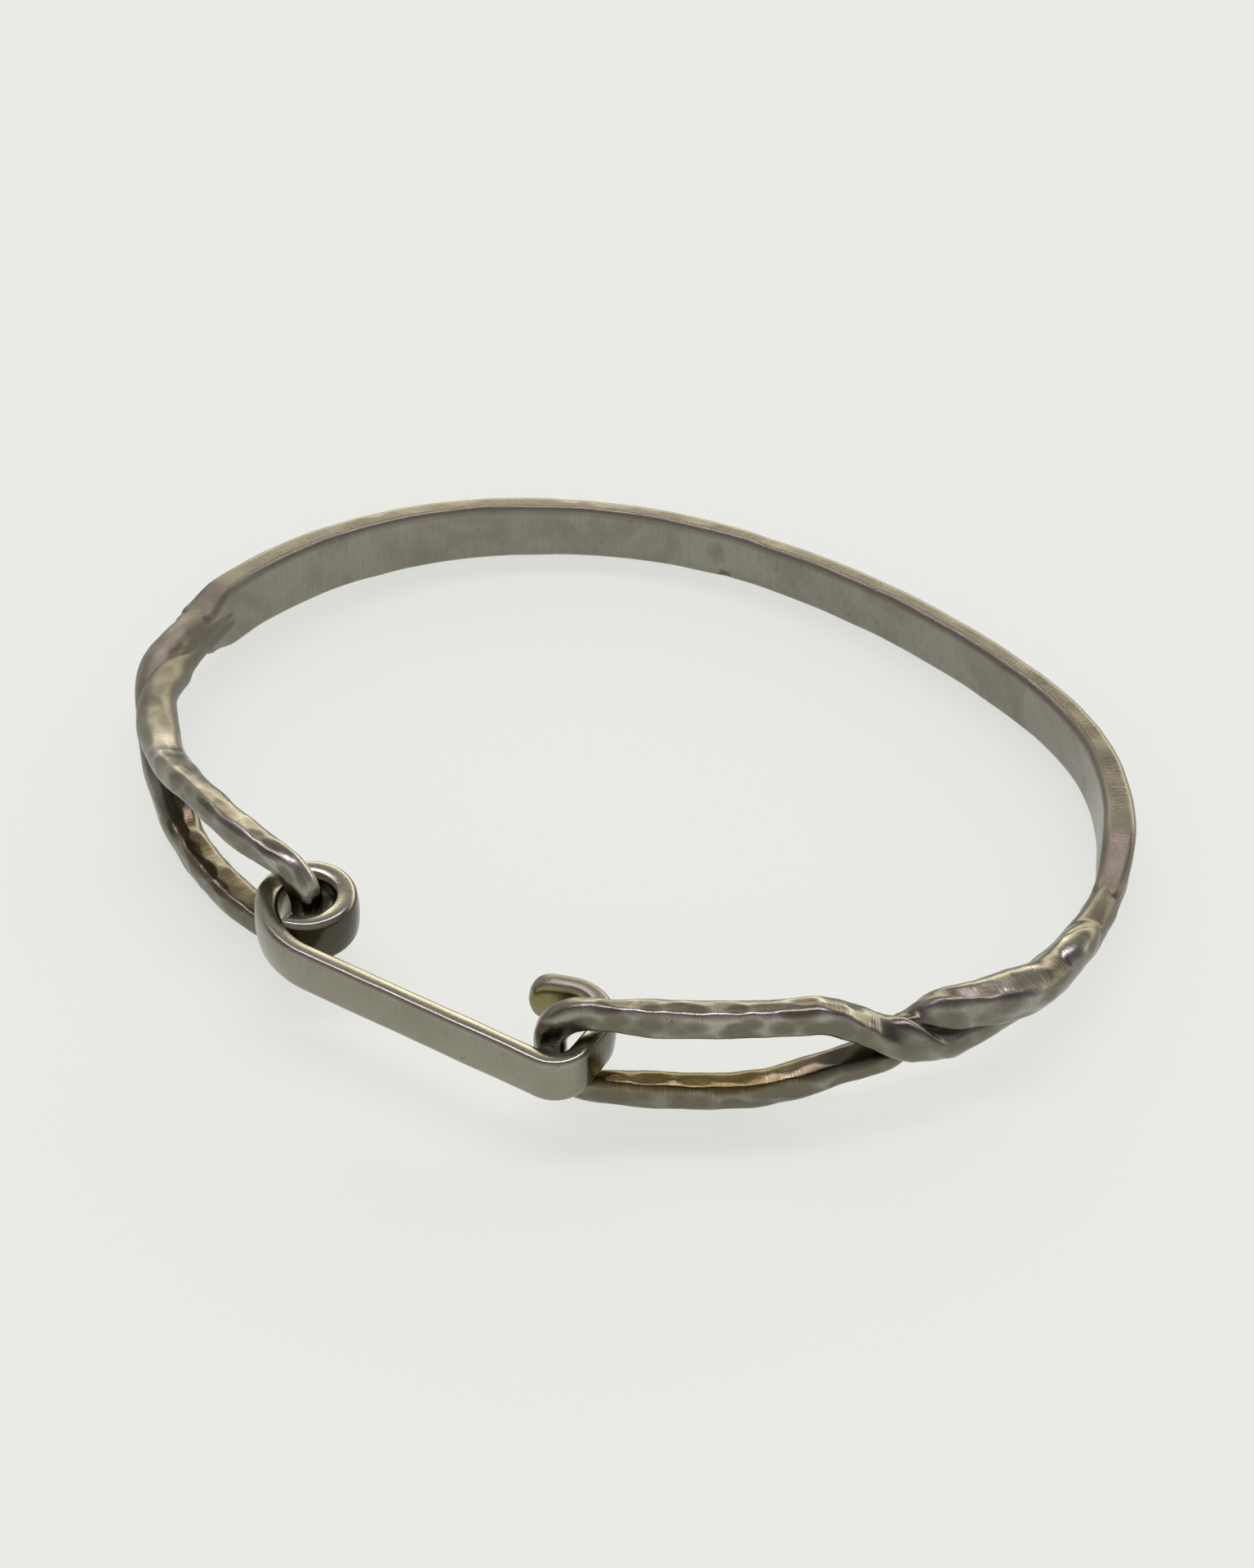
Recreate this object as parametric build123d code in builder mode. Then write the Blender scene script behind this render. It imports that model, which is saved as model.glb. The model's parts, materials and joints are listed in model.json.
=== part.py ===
from build123d import *
import math
import os

# A hammered bangle: one springy wire band, twisted and opened into a long eye at each end, and a hook bar.
# It is modelled level about its middle plane, Z = 0, with the two eyes at the front (-Y), and then laid
# on its side as it rests. Sizes are millimetres, shares and turns have no unit or are degrees.
# The plan line runs through the middle of the wire, from the left eye's end round the back to the right one's.

# Plan line
right_run = 77.5  # plan line from the back middle to the right eye's end
left_run = 72.0  # plan line from the back middle to the left eye's end

# Wire of the eyes
left_strand = 1.73  # side of the square wire
right_strand = 1.87
strand_edge = 0.45  # radius of its worn edges
left_eye_height = 7.6  # outside, over both strands
right_eye_height = 7.3
left_eye_length = 18.4  # from the eye's end to where its strands meet
right_eye_length = 19.0
eye_corner = 2.2  # bend radius of the wire's middle at the eye's closed end
left_upper_close = 10.0  # length over which each strand comes to its pair
left_lower_close = 6.0
right_upper_close = 5.4
right_lower_close = 9.4

# Twists, each a pair of hammered strands
left_twist = 11.8  # from the eye to the band's shoulder
right_twist = 17.4
pair_edge = 0.6
strand_slit = 0.2  # between the two strands

# Band
band_height = 4.3
band_thickness = 1.95
band_edge = 0.45
shoulder = 2.4  # length over which the twist swells into the band

# Hook bar, a strip on edge that is curled round the left eye's end and hooked round the right one's
strip_height = 2.95
strip_thickness = 1.4
strip_edge = 0.2
curl_inside = 2.0  # inside radius of the curl
curl_wall = 0.95  # the strip is thinner there
curl_stop = -64.0  # angle of the curl's end, short of the back of the bar
curl_leave = 206.0  # angle at which the curl leaves its circle for the bar
curl_run = 2.6  # from the curl's middle to the start of the straight bar
hook_reach = 2.1  # from the right eye's end wire to the middle of the hook's far side
hook_bend = 1.5  # bend radius of the strip's middle at the hook's first corner
tip_bend = 2.15  # and round its back
tip_depth = 3.55  # from the end wire back to the strip's middle
tip_turn = 108.0
tip_length = 1.8
tip_round = 1.35  # radius of the tip's two corners, seen from its side

# Clearances
front_gap = 0.6  # between the bar's back and the right eye's end wire
rest_gap = 0.28  # between the bar and the lower strands under it
joint_inset = 0.1  # the strands run into the band this far under its surface
joint_depth = 1.2  # and this deep
joint_taper = 0.3  # getting thinner by this much

# Spacing of the sections that each stretch is lofted through
wire_step = 1.5
twist_step = 0.3
band_step = 5.0

# Arcs of the plan line from the back middle to each end, all bending the same way
# Columns: radius, length, both as shares of that side's run
right_arcs = ((0.632, 0.300), (0.213, 0.116), (0.258, 0.363), (0.607, 0.221))
left_arcs = ((0.411, 0.292), (0.336, 0.298), (0.170, 0.105), (0.370, 0.305))

# How the upper strand turns round the plan line: 90 is up, 0 is outwards, 180 is inwards
# Columns: share of the twist's length, counted from the eye, turn
right_turns = (
    (-0.085, 90),
    (0.0, 65),
    (0.135, 10),
    (0.67, -151),
    (0.815, -218),
    (0.93, -260),
    (1.0, -270),
)
left_turns = (
    (0.06, 90),
    (0.2, 96),
    (0.31, 108),
    (0.525, 176),
    (0.74, 250),
    (0.84, 266),
    (0.95, 270),
    (1.0, 270),
)

# Pair of strands along the twist
# Columns: share of the twist's length from the eye, width across both strands, depth through one
right_pair = ((0.0, 2.9, 2.44), (0.5, 2.8, 2.22), (1.0, 1.95, 1.85))
left_pair = ((0.0, 3.1, 2.65), (0.5, 3.3, 2.36), (1.0, 3.2, 2.5))

# Wire of the eyes, from the closed end to where the strands meet
# Columns: share of the eye's length, width as a share of the strand's side
right_eye_wire = ((0.0, 0.78), (0.12, 0.8), (0.3, 1.0), (0.7, 1.0))
left_eye_wire = ((0.0, 0.95), (0.3, 1.0), (0.7, 1.0))

# Band between its two shoulders
# Columns: share of its length, height and thickness as shares of the band's
band_sections = (
    (0.0, 1.03, 1.03),
    (0.25, 0.97, 0.88),
    (0.5, 0.8, 0.83),
    (0.75, 0.88, 0.83),
    (1.0, 0.84, 1.05),
)

# Sizes that follow
line_length = left_run + right_run
band_length = line_length - left_eye_length - left_twist - right_eye_length - right_twist
up = Vector(0, 0, 1)
left_eye = (left_eye_height - left_strand) / 2  # from the middle plane to the middle of a strand
right_eye = (right_eye_height - right_strand) / 2
curl_outside = curl_inside + curl_wall


def between(table, share):
    """Row of a table at a share, straight between its rows and held past its ends."""
    below = table[0]
    for row in table:
        if row[0] >= share:
            if row[0] == below[0]:
                return row[1:]
            part = (share - below[0]) / (row[0] - below[0])
            return tuple(a + (b - a) * part for a, b in zip(below[1:], row[1:]))
        below = row
    return below[1:]


def swell(share):
    """Smooth step from 0 to 1."""
    return (1 - math.cos(math.pi * min(max(share, 0.0), 1.0))) / 2


def half_line(run, arcs, side):
    """Half of the plan line, from the back middle outwards: side is 1 to the right, -1 to the left."""
    with BuildLine() as line:
        start = Vector(0, 0)
        heading = Vector(side, 0)
        for radius_share, length_share in arcs:
            turn = -side * math.degrees(length_share / radius_share)
            arc = JernArc(start, heading, radius_share * run, turn)
            start = arc @ 1
            heading = arc % 1
    return line.wire()


right_line = half_line(right_run, right_arcs, 1)
left_line = half_line(left_run, left_arcs, -1)


def station(distance):
    """Point, direction along and direction outwards of the plan line at a distance from its left end."""
    if distance < left_run:
        share = (left_run - distance) / left_run
        point = left_line @ share
        along = (left_line % share) * -1
    else:
        share = (distance - left_run) / right_run
        point = right_line @ share
        along = right_line % share
    return point, along, Vector(-along.Y, along.X)


# Each end of the wire: its sizes under one name, for the functions that build an eye and a twist
ends = {
    "left": {
        "side": -1,
        "strand": left_strand,
        "eye": left_eye,
        "upper_close": left_upper_close,
        "lower_close": left_lower_close,
        "eye_length": left_eye_length,
        "twist": left_twist,
        "turns": left_turns,
        "wire": left_eye_wire,
        "pair": left_pair,
    },
    "right": {
        "side": 1,
        "strand": right_strand,
        "eye": right_eye,
        "upper_close": right_upper_close,
        "lower_close": right_lower_close,
        "eye_length": right_eye_length,
        "twist": right_twist,
        "turns": right_turns,
        "wire": right_eye_wire,
        "pair": right_pair,
    },
}


def end_station(end, inward):
    """Station at a distance inward from one end."""
    if end["side"] > 0:
        return station(line_length - inward)
    return station(inward)


def twist_share(end, inward):
    """Share of the twist that lies between its eye and a distance inward."""
    return (inward - end["eye_length"]) / end["twist"]


def turned(end, inward):
    """Point of the plan line at a distance inward, and the direction from it to the upper strand."""
    point, _, outwards = end_station(end, inward)
    angle = math.radians(between(end["turns"], twist_share(end, inward))[0])
    return point, outwards * math.cos(angle) + up * math.sin(angle)


def spread(end, inward, side):
    """How far a strand has opened from its pair, 0 to 1: side is 1 for the upper one, -1 for the lower."""
    close = end["upper_close"] if side > 0 else end["lower_close"]
    return swell((end["eye_length"] - inward) / close)


def rounded_section(plane, width, depth, edge):
    """Rectangle with round corners on a plane, width along its X."""
    with BuildSketch(plane) as outline:
        RectangleRounded(width, depth, edge)
    return outline.sketch


def lofted(sections):
    """Solid through sections in order."""
    with BuildPart() as piece:
        loft(sections)
    return piece.part


def spaced(start, stop, spacing):
    """Even steps from start to stop, without the last."""
    steps = max(round(abs(stop - start) / spacing), 1)
    return [start + (stop - start) * step / steps for step in range(steps)]


def band_section(spot):
    """Section of the band at a distance from its left shoulder. At a shoulder it just holds the pair."""
    end = ends["left"] if spot < band_length / 2 else ends["right"]
    grown = swell(min(spot, band_length - spot) / shoulder)
    height_share, thickness_share = between(band_sections, spot / band_length)
    pair_width, pair_depth = (size + 2 * joint_inset for size in between(end["pair"], 1.0))
    width = pair_width + (band_height * height_share - pair_width) * grown
    depth = pair_depth + (band_thickness * thickness_share - pair_depth) * grown
    edge = pair_edge + (band_edge - pair_edge) * grown
    point, along, _ = station(left_eye_length + left_twist + spot)
    return rounded_section(Plane(origin=point, x_dir=up, z_dir=along), width, depth, edge)


def band():
    """The band on edge, from shoulder to shoulder."""
    spots = spaced(0, 2 * shoulder, shoulder / 4)
    spots += spaced(2 * shoulder, band_length - 2 * shoulder, band_step)
    spots += spaced(band_length - 2 * shoulder, band_length, shoulder / 4)
    spots.append(band_length)
    return lofted([band_section(spot) for spot in spots])


def strand_point(end, inward, side):
    """Middle of the upper strand (side 1) or the lower one (side -1), and its direction from the plan line."""
    point, outer = turned(end, inward)
    pair_width, _ = between(end["pair"], twist_share(end, inward))
    paired = (pair_width + strand_slit) / 4
    reach = paired + (end["eye"] - paired) * spread(end, inward, side)
    return point + outer * side * reach, outer * side


def strand_section(end, inward, side):
    """Section of a strand, facing along the wire: out along the upper strand, back along the lower one.
    In an eye it is the square wire, in a twist half of the pair, and inside the band it tapers."""
    nudge = 0.05
    middle, outer = strand_point(end, inward, side)
    ahead, _ = strand_point(end, inward - nudge, side)
    behind, _ = strand_point(end, inward + nudge, side)
    opened = spread(end, inward, side)
    along = end_station(end, inward)[1] * end["side"]
    way = along + ((ahead - behind).normalized() - along) * min(3 * opened, 1)
    past = max(inward - end["eye_length"] - end["twist"], 0) / joint_depth
    taper = joint_taper * past
    pair_width, pair_depth = between(end["pair"], twist_share(end, inward))
    depth = (pair_width - strand_slit) / 2 - taper
    width = pair_depth - taper
    edge = min(pair_edge, 0.4 * depth)
    wire_width = end["strand"] * between(end["wire"], inward / end["eye_length"])[0]
    depth += (end["strand"] - depth) * opened
    width += (wire_width - width) * opened
    edge += (strand_edge - edge) * opened
    return rounded_section(Plane(origin=middle, x_dir=outer, z_dir=way * side), depth, width, edge)


def bend_section(end, degrees, middle_height):
    """Section of the wire in an eye's closed end, at an angle from straight up about a bend's middle."""
    angle = math.radians(degrees)
    point, along, _ = end_station(end, eye_corner * (1 - math.sin(angle)))
    outer_end = along * end["side"]
    outer = up * math.cos(angle) + outer_end * math.sin(angle)
    way = outer_end * math.cos(angle) - up * math.sin(angle)
    middle = point + up * (middle_height + eye_corner * math.cos(angle))
    width = end["strand"] * end["wire"][0][1]
    return rounded_section(Plane(origin=middle, x_dir=outer, z_dir=way), end["strand"], width, strand_edge)


def end_wire(end):
    """The wire of one end: from inside the band through the twist, out along the upper strand of the eye,
    down round its closed end and back along the lower strand into the band."""
    shoulder_spot = end["eye_length"] + end["twist"]
    spots = [shoulder_spot + joint_depth, shoulder_spot + joint_depth / 2]
    spots += spaced(shoulder_spot, end["eye_length"], twist_step)
    spots += spaced(end["eye_length"], eye_corner, wire_step)
    spots.append(eye_corner)
    sections = [strand_section(end, inward, 1) for inward in spots]
    reach = end["eye"] - eye_corner
    for degrees, middle_height in ((45, reach), (90, reach), (90, -reach), (135, -reach)):
        sections.append(bend_section(end, degrees, middle_height))
    sections += [strand_section(end, inward, -1) for inward in reversed(spots)]
    return lofted(sections)


# The wire, level: one solid, because its twists are soldered and hammered into the band
stretches = [band(), end_wire(ends["left"]), end_wire(ends["right"])]
with BuildPart() as level_wire:
    add(stretches)

# Frame of the hook bar: its origin is the middle of the left eye's end wire, its X runs along the bar
left_end = left_line @ 1
right_end = right_line @ 1
to_right = right_end - left_end
bar_back = -curl_outside
wire_y = bar_back + front_gap + right_strand * right_eye_wire[0][1] / 2
wire_x = math.sqrt(to_right.length**2 - wire_y**2)
bar_turn = math.degrees(math.atan2(to_right.Y, to_right.X) - math.asin(wire_y / to_right.length))
strip_low = -min(left_eye - left_strand / 2, right_eye - right_strand / 2) + rest_gap
bar_plane = Plane(origin=left_end + up * strip_low, z_dir=(0, 0, 1)).rotated((0, 0, bar_turn))


def strip_side(offset, wall_radius):
    """One side of the strip in plan, from the curl's end to the hook's tip: offset is from its middle line."""
    bar_y = bar_back - strip_thickness / 2 - offset
    far = wire_x + hook_reach
    back = wire_y + tip_depth
    curl = CenterArc((0, 0), wall_radius, curl_stop, curl_leave - curl_stop)
    lead = Spline(
        curl @ 1,
        (curl_run, bar_y),
        tangents=(curl % 1, (1, 0)),
    )
    bar = Line(lead @ 1, (far - hook_bend, bar_y))
    corner = JernArc(bar @ 1, (1, 0), hook_bend + offset, 90)
    side = Line(corner @ 1, (far + offset, back - tip_bend))
    turn = JernArc(side @ 1, (0, 1), tip_bend + offset, tip_turn)
    tip = Line(turn @ 1, turn @ 1 + (turn % 1) * tip_length)
    return curl @ 0, tip @ 1


with BuildPart() as level_hook:
    with BuildSketch(bar_plane) as strip_plan:
        with BuildLine():
            outer_start, outer_tip = strip_side(strip_thickness / 2, curl_outside)
            inner_start, inner_tip = strip_side(-strip_thickness / 2, curl_inside)
            Line(outer_start, inner_start)
            Line(outer_tip, inner_tip)
        make_face()
    extrude(amount=strip_height)
    flat_faces = level_hook.faces().filter_by(Axis.Z)
    tip_middle = bar_plane.from_local_coords((outer_tip + inner_tip) / 2) + up * strip_height / 2
    tip_corners = flat_faces.edges().sort_by_distance(tip_middle)[:2]
    fillet(tip_corners, tip_round)
    flat_faces = level_hook.faces().filter_by(Axis.Z)
    fillet(flat_faces.edges(), strip_edge)

# At rest the bangle lies on its side: on the low sides of the eyes at the front and on the band at the back
eye_rest, _, _ = end_station(ends["right"], right_eye_length - right_lower_close)
back_height, _ = between(band_sections, 0.5)
drop = right_eye_height / 2 - band_height * back_height / 2
rest_pitch = math.degrees(math.atan(drop / -eye_rest.Y))
pitched = Location((0, 0, 0), (-rest_pitch, 0, 0))
rest_box = Compound([pitched * level_wire.part, pitched * level_hook.part]).bounding_box()
rest = Location((-rest_box.center().X, -rest_box.center().Y, -rest_box.min.Z), (-rest_pitch, 0, 0))

with BuildPart() as bangle_body:
    with Locations(rest):
        add(level_wire.part)
bangle_body.part.label = "bangle_body"

with BuildPart() as hook_bar:
    with Locations(rest):
        add(level_hook.part)
hook_bar.part.label = "hook_bar"

os.makedirs("parts", exist_ok=True)
export_step(bangle_body.part, "parts/bangle_body.step")
export_step(hook_bar.part, "parts/hook_bar.step")

pivot = rest * Location(left_end)
print("rest pitch", round(rest_pitch, 3), "bar turn", round(bar_turn, 3))
print("origin", rest.position, "pivot", pivot.position, "axis", Plane(rest).z_dir)
print("volumes", round(bangle_body.part.volume, 2), round(hook_bar.part.volume, 2))
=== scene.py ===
import bpy
import json
import numpy as np
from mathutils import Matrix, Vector


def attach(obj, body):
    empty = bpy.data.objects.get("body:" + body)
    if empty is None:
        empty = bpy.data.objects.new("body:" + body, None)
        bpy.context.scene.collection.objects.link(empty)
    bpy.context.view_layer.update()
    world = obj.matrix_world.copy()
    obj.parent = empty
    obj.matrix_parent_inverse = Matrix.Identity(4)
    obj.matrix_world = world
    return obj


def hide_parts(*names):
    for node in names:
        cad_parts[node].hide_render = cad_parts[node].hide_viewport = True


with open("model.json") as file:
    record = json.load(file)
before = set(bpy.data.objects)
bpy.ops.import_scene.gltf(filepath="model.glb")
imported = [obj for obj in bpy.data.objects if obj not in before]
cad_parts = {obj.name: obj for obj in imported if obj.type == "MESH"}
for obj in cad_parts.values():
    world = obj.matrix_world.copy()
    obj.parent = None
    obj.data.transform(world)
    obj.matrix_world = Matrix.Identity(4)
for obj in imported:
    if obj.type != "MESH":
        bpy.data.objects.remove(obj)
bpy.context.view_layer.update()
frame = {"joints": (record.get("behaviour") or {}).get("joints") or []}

# A hammered silver bangle that lies on its side, closed by its hook bar.
# Sizes in the dictionaries are millimetres, as the solids were drawn. The scene itself is in metres.
millimetre = 0.001
up = np.array([0.0, 0.0, 1.0])

# The line through the middle of the wire, in plan: tangent arcs from the back middle to each eye's end
planLine = {
    "leftRun": 72.0,
    "rightRun": 77.5,
    # radius and length of each arc, as shares of the run
    "leftArcs": [(0.411, 0.292), (0.336, 0.298), (0.170, 0.105), (0.370, 0.305)],
    "rightArcs": [(0.632, 0.300), (0.213, 0.116), (0.258, 0.363), (0.607, 0.221)],
    "samples": 4000,        # points worked out on each half
}


# heights of a table's columns at a share, straight between its rows
def between(rows, share):
    table = np.array(rows, float)
    return [np.interp(share, table[:, 0], table[:, k]) for k in range(1, table.shape[1])]


# half a cosine wave from 0 to 1
def swell(share):
    return (1 - np.cos(np.pi * np.clip(share, 0, 1))) / 2


# vectors divided by their own lengths
def unit(v):
    return v / np.maximum(np.linalg.norm(v, axis=-1, keepdims=True), 1e-12)


# distance travelled at each of a row of points: the sum of the lengths of the steps before it
def pathLength(points):
    return np.append(0, np.cumsum(np.linalg.norm(np.diff(points, axis=0), axis=1)))


# one half of the line: every arc adds its radius times the change of the heading's sine and cosine
def halfLine(run, arcs, side):
    radius = np.array([a[0] for a in arcs]) * run
    length = np.array([a[1] for a in arcs]) * run
    starts = np.cumsum(length) - length
    distance = np.linspace(0, length.sum(), planLine["samples"])
    passed = np.clip(distance[:, None] - starts, 0, length)
    first = np.cumsum(length / radius) - length / radius
    last = first + passed / radius
    x = (radius * (np.sin(last) - np.sin(first))).sum(1)
    y = -(radius * (np.cos(first) - np.cos(last))).sum(1)
    return distance, side * x, y, -side * (passed / radius).sum(1)


leftHalf = halfLine(planLine["leftRun"], planLine["leftArcs"], -1)
rightHalf = halfLine(planLine["rightRun"], planLine["rightArcs"], 1)
leftLength = leftHalf[0][-1]
lineLength = leftLength + rightHalf[0][-1]
lineDistance = np.concatenate([leftLength - leftHalf[0][::-1], leftLength + rightHalf[0][1:]])
lineX, lineY, lineHeading = (np.concatenate([leftHalf[k][::-1], rightHalf[k][1:]]) for k in (1, 2, 3))


# point, direction along and direction outwards of the line at distances from its left end
def station(distance):
    x, y, heading = (np.interp(distance, lineDistance, v) for v in (lineX, lineY, lineHeading))
    along = np.stack([np.cos(heading), np.sin(heading), 0 * heading], -1)
    outward = np.stack([-along[..., 1], along[..., 0], 0 * heading], -1)
    return np.stack([x, y, 0 * x], -1), along, outward


leftPoint, rightPoint = station(0.0)[0], station(lineLength)[0]
hinge = frame["joints"][0]
hingePoint = np.array(hinge["pos_m"]) / millimetre
pitch = np.arctan2(hinge["axis"][1], hinge["axis"][2])


# level points laid down at rest: turned about X by the hinge's pitch, with the left eye's end on the hinge
def atRest(points):
    p = points - leftPoint
    y = p[..., 1] * np.cos(pitch) + p[..., 2] * np.sin(pitch)
    z = -p[..., 1] * np.sin(pitch) + p[..., 2] * np.cos(pitch)
    return np.stack([p[..., 0], y, z], -1) + hingePoint


# a rounded bar's outline: weights of its flat half sizes, and directions in which its corner radius
# is added, which turn through a quarter circle at each corner and stay the same along a flat
def roundedOutline(perSide, perCorner):
    corners = np.array([(1, 1), (-1, 1), (-1, -1), (1, -1)], float)
    t = np.linspace(0, np.pi / 2, perCorner) + np.arange(4)[:, None] * np.pi / 2
    turns = np.stack([np.cos(t), np.sin(t)], -1)
    part = np.linspace(0, 1, perSide + 2)[1:-1, None]
    flats = (1 - part) * corners[:, None] + part * np.roll(corners, -1, 0)[:, None]
    weights = np.concatenate([np.repeat(corners[:, None], perCorner, 1), flats], 1)
    units = np.concatenate([turns, np.repeat(turns[:, -1:], perSide, 1)], 1)
    return weights.reshape(-1, 2), units.reshape(-1, 2)


# the outline carried along a path: middle + across (flat weight + radius unit) on each of its two axes,
# each side crowned by crown (1 - (across / half)^2) less crown
def barGrid(middle, axisA, axisB, halfA, halfB, edge, shape):
    weights, units = roundedOutline(shape["perSide"], shape["perCorner"])
    halfA, halfB, edge = (np.broadcast_to(v, middle.shape[0])[:, None] for v in (halfA, halfB, edge))
    widestEdge = 0.98       # of the smaller half size, so that a flat is left between two corners
    edge = np.minimum(edge, np.minimum(halfA, halfB) * widestEdge)
    a = (halfA - edge) * weights[:, 0] + edge * units[:, 0]
    b = (halfB - edge) * weights[:, 1] + edge * units[:, 1]
    a, b = (a * (1 - shape["crown"] / halfA * (b / halfB) ** 2),
            b * (1 - shape["crown"] / halfB * (a / halfA) ** 2))
    points = middle[:, None] + a[..., None] * axisA[:, None] + b[..., None] * axisB[:, None]
    normals = unit(units[:, 0, None] * axisA[:, None] + units[:, 1, None] * axisB[:, None])
    stepA, stepB = np.diff(a[len(a) // 2]), np.diff(b[len(b) // 2])
    girth = np.concatenate([[0], np.cumsum(np.hypot(stepA, stepB))])
    return points, normals, np.broadcast_to(girth, a.shape)


# slow unevenness of hand work: amount times the mean of a few sines of unrelated lengths
def wobble(distance, amount, seed, shortest=2.2, longest=9.0):
    rng = np.random.default_rng(seed)
    sines = 5
    lengths, phases = rng.uniform(shortest, longest, sines), rng.uniform(0, 2 * np.pi, sines)
    return amount * np.sin(2 * np.pi * distance[:, None] / lengths + phases).mean(1)


# hammer blows: the deepest of depth (1 - (along / long)^2 - (across / wide)^2) over all blows,
# never below 0, worked out for a few thousand points at a time from the blows near them
def dents(points, centres, ways, longs, wides, depths):
    flat = points.reshape(-1, 3)
    result = np.zeros(len(flat))
    reach = np.maximum(longs, wides).max()
    atOnce = 3000
    for start in range(0, len(flat), atOnce):
        part = flat[start:start + atOnce]
        near = ((centres > part.min(0) - reach) & (centres < part.max(0) + reach)).all(1)
        if near.any():
            d = part[:, None] - centres[near]
            along = (d * ways[near]).sum(-1)
            across = (d * d).sum(-1) - along ** 2
            fall = 1 - (along / longs[near]) ** 2 - across / wides[near] ** 2
            result[start:start + atOnce] = (depths[near] * np.clip(fall, 0, None)).max(1)
    return result.reshape(points.shape[:-1])


# how much the blows differ: lowest and highest share of the given size, of the width that goes with
# that size, and of the depth
handwork = {"size": (0.75, 1.3), "width": (0.85, 1.15), "depth": (0.45, 1.15)}


# the blows on a grid: middles one pitch apart along each named column, moved by up to half a pitch
# along and by up to sway columns sideways, then directions, half lengths, half widths and depths
def blowsOn(points, way, blow, rows, columns, rng):
    moved = rng.uniform(-0.5, 0.5, (len(rows), len(columns))) * blow["rowStep"]
    r = np.clip(rows[:, None] + moved, 0, len(points) - 1)
    c = (np.array(columns) + rng.integers(-blow["sway"], blow["sway"] + 1, r.shape)) % points.shape[1]
    r = r.astype(int)
    centres = points[r, c].reshape(-1, 3)
    size = rng.uniform(*handwork["size"], len(centres))
    wides = blow["wide"] * size * rng.uniform(*handwork["width"], len(size))
    depths = blow["depth"] * rng.uniform(*handwork["depth"], len(size))
    return centres, way[r].reshape(-1, 3), blow["long"] * size, wides, depths


# The two ends of the wire, each a square wire bent into a long eye whose two strands twist into a pair.
# Each row of a table starts with a share: of the eye from its end for wireWidth and roll, and of the
# twist from the eye for the others. After it come:
# wireWidth   width of the wire as a share of its height
# turns       angle of the upper strand, where 90 is up, 0 is outwards and 180 inwards
# pair        width across the pair, depth through one strand
# weld        gap between the two strands, which run into each other below 0, and radius of their edges
# lower       size of the lower strand as a share of the upper one's
# roll        degrees that the upper strand's section leans inwards, and the lower one's outwards
# marks       single deep blows: angle and radius of the middle, half length, half width, depth
# bosses      single bulges, given as the deep blows are
# dulled      how far the metal is dulled, counted as depth of blows
# upwardShade painted shade: how much darker the faces are that look up
# satin       how much rougher it is
leftEnd = {
    "side": -1, "strand": 1.73, "eyeHeight": 7.6, "eyeLength": 18.4, "twist": 11.8,
    "upperClose": 11.0, "lowerClose": 6.0, "edge": 0.45, "twistDepth": 0.022, "patina": 0.55, "seed": 101,
    "wireWidth": [(0.0, 0.95), (0.3, 1.06), (0.7, 1.06)],
    "turns": [(0.06, 90), (0.2, 96), (0.31, 108), (0.525, 176), (0.74, 250), (0.84, 266), (0.95, 270),
              (1.0, 270)],
    "pair": [(0.0, 3.0, 2.6), (0.25, 2.9, 2.4), (0.6, 3.3, 2.36), (1.0, 3.2, 2.5)],
    "weld": [(-0.2, -0.1, 0.7), (0.0, -0.6, 0.8), (0.2, -1.6, 1.1), (0.8, -1.7, 1.1), (1.0, -1.8, 1.1)],
    "lower": [(-1.35, 1.0), (-1.1, 1.18), (-0.2, 1.18), (0.0, 1.0)],
    "roll": [(0.0, 0.0, 0.0), (0.1, -4.0, 0.0), (0.22, 9.0, 0.0), (0.45, 10.0, 0.0), (0.62, 20.0, 0.0),
             (0.8, 20.0, 0.0), (1.0, 12.0, 0.0), (1.2, 0.0, 0.0)],
    "marks": [(0.17, 80, 1.3, 0.9, 0.7, 0.13), (0.88, 30, 1.6, 0.7, 0.9, 0.22),
              (0.45, 100, 1.35, 1.2, 0.8, 0.08)],
    "bosses": [(0.3, 60, 1.2, 1.2, 0.8, 0.02)],
    "dulled": [(-0.2, 0.0), (0.0, 0.021), (1.0, 0.024)],
    "upwardShade": [(0.0, 0.0)],
    "satin": [(-0.25, 0.0), (0.0, 0.9), (1.0, 1.3)],
}
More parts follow.
